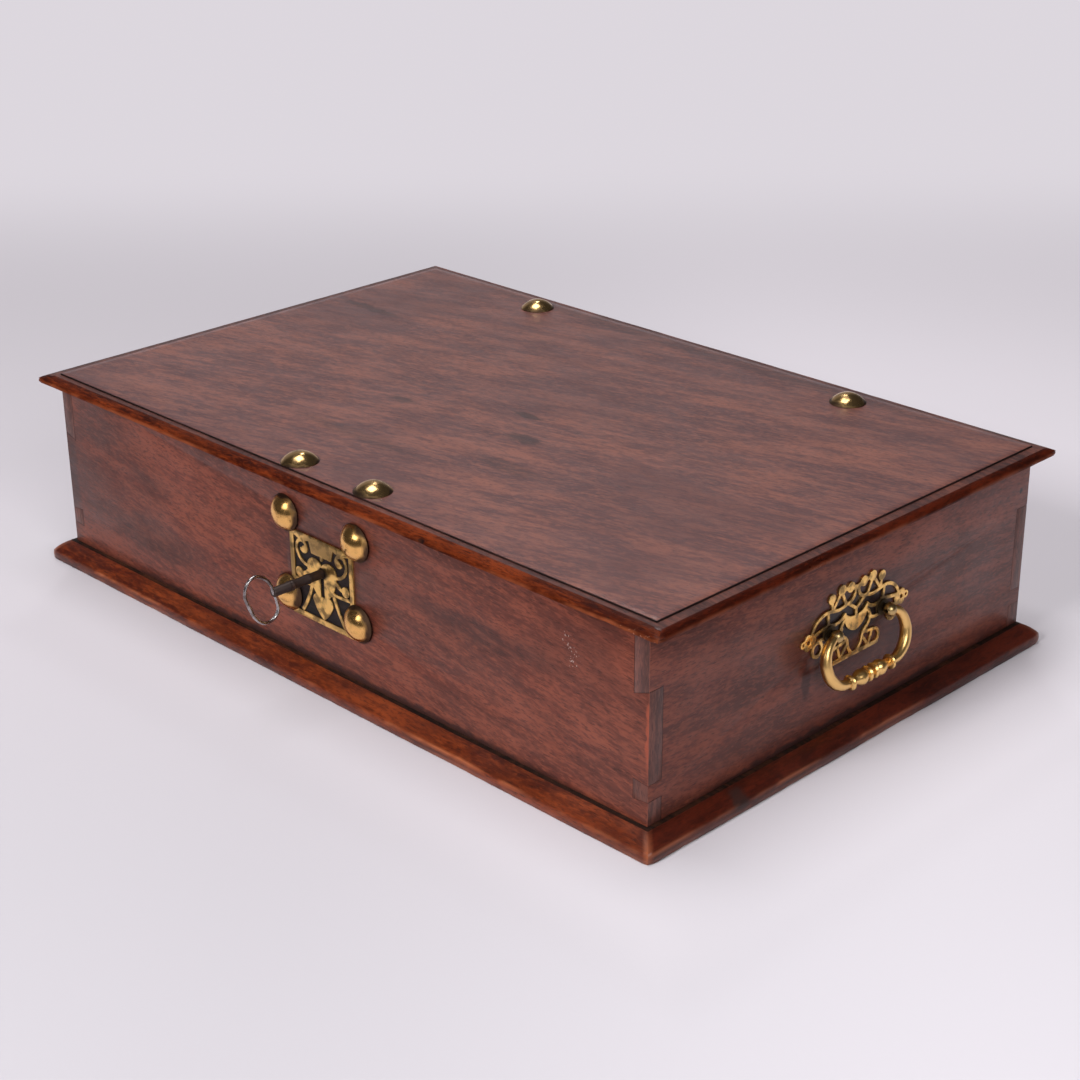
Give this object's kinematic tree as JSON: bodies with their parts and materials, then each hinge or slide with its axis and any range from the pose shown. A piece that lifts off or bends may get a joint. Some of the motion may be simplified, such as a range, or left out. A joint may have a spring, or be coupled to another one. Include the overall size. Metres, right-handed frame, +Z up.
{
  "type": "desk letter box",
  "caption": "Low wooden desk box for letters: moulded hinged lid and base, dovetailed sides, studded escutcheon with lock and key, and a hanging bail handle on each end.",
  "frame": {"origin": "centre of the carcass in plan, on the underside of the base, which is the surface the box stands on", "axes": "+X along the box towards the right end, +Y from the locked front to the hinged back, +Z up"},
  "size_m": [0.5118, 0.3713, 0.1267],
  "materials": {
    "lid_wood": "waxed, worn satin",
    "front_wood": "waxed satin",
    "back_wood": "waxed satin",
    "left_wood": "waxed satin",
    "right_wood": "waxed satin",
    "base_wood": "waxed, polished on the moulding",
    "plate_brass": "polished, lightly tarnished",
    "stud_brass": "polished dome with dark patina",
    "bail_brass": "polished, dark in the hollows",
    "post_brass": "polished, dark in the hollows",
    "nut_brass": "dull",
    "lock_iron": "dark forged iron",
    "hinge_iron": "dark forged iron",
    "nail_iron": "dark forged iron",
    "bolt_steel": "filed bright",
    "spring_steel": "blued",
    "key_iron": "dark shank, bow rubbed grey"
  },
  "bodies": {
    "case": {"base_board": "base_wood", "front_board": "front_wood", "back_board": "back_wood", "left_side_board": "left_wood", "right_side_board": "right_wood", "base_nails": "nail_iron", "escutcheon_plate": "plate_brass", "escutcheon_studs": "stud_brass", "lock_plate": "lock_iron", "lock_cover": "lock_iron", "lock_cover_rivets": "lock_iron", "lock_stumps": "lock_iron", "lock_spring": "spring_steel", "hinge_case_leaf_left": "hinge_iron", "hinge_case_leaf_right": "hinge_iron", "hinge_pin_left": "hinge_iron", "hinge_pin_right": "hinge_iron", "hinge_case_nails": "nail_iron", "handle_plate_left": "plate_brass", "handle_plate_right": "plate_brass", "handle_posts_left": "post_brass", "handle_posts_right": "post_brass", "handle_nuts_left": "nut_brass", "handle_nuts_right": "nut_brass"},
    "lid": {"lid_board": "lid_wood", "staple_plate": "lock_iron", "lid_lock_studs": "stud_brass", "lid_hinge_studs": "stud_brass", "hinge_lid_leaf_left": "hinge_iron", "hinge_lid_leaf_right": "hinge_iron", "hinge_lid_nails": "nail_iron"},
    "key": {"key": "key_iron"},
    "lock_bolt": {"lock_bolt": "bolt_steel"},
    "bail_left": {"bail_left": "bail_brass"},
    "bail_right": {"bail_right": "bail_brass"}
  },
  "joints": [
    {"name": "lid_hinge", "type": "hinge", "parent": "case", "child": "lid", "pos_m": [0, 0.157, 0.1125], "axis": [-1, 0, 0], "range_deg": [0, 110]},
    {"name": "key_turn", "type": "hinge", "parent": "case", "child": "key", "pos_m": [0.003, -0.15, 0.068], "axis": [0, 1, 0], "range_deg": [0, 360]},
    {"name": "bolt_slide", "type": "slide", "parent": "case", "child": "lock_bolt", "axis": [1, 0, 0], "range_m": [0, 0.012]},
    {"name": "bail_right_swing", "type": "hinge", "parent": "case", "child": "bail_right", "pos_m": [0.246, 0, 0.0675], "axis": [0, -1, 0], "range_deg": [0, 150]},
    {"name": "bail_left_swing", "type": "hinge", "parent": "case", "child": "bail_left", "pos_m": [-0.246, 0, 0.0675], "axis": [0, 1, 0], "range_deg": [0, 150]}
  ],
  "couplings": [
    {"joint": "bolt_slide", "follows": "key_turn", "m_per_rad": 0.0019}
  ]
}
